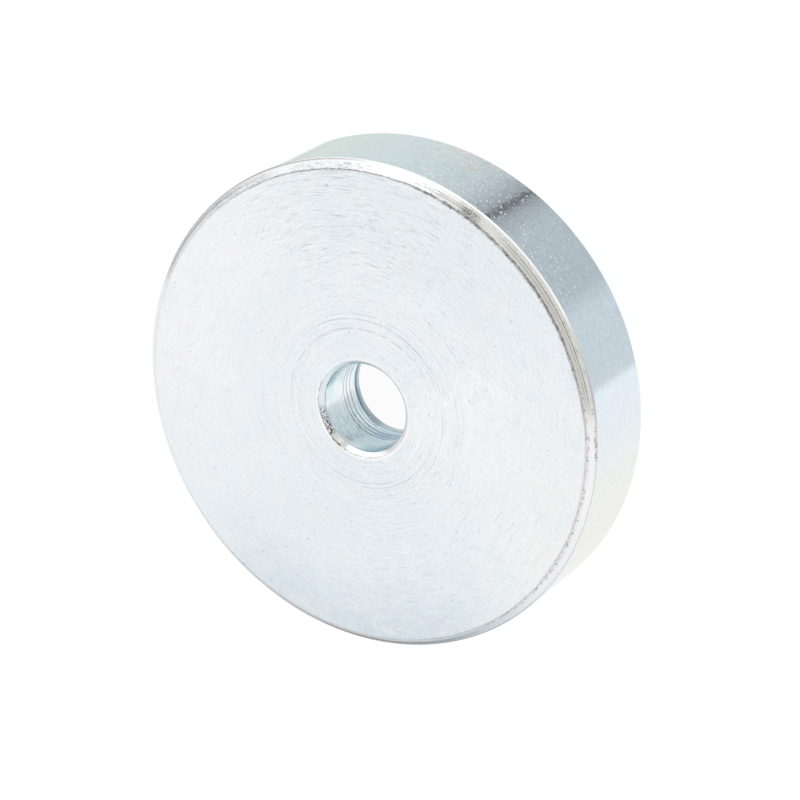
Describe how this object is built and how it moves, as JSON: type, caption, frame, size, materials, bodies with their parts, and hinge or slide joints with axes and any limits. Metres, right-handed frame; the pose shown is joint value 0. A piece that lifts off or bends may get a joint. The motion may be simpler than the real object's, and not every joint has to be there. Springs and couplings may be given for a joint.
{
  "type": "countersunk pot magnet",
  "caption": "Flat round pot magnet: a zinc-plated turned steel pot around a ring magnet, held by one countersunk screw through its centre.",
  "frame": {"origin": "centre of the holding face, which is the ground end of the pot's wall and the face that the magnet holds with", "axes": "+Z along the screw hole from the holding face to the closed back of the pot; X and Y lie in the holding face and are interchangeable, because the part is round"},
  "size_m": [0.036, 0.036, 0.0075],
  "materials": {
    "zinc_plated_steel": "bright zinc plating with a thin bluish passivation over fine concentric turning marks",
    "nickel_plating": "satin nickel plating on a sintered magnet",
    "potting_resin": "cured black potting resin with a slightly sagged, glossy surface"
  },
  "bodies": {
    "root": {"pot": "zinc_plated_steel", "ring_magnet": "nickel_plating", "resin_ring": "potting_resin"}
  },
  "joints": []
}
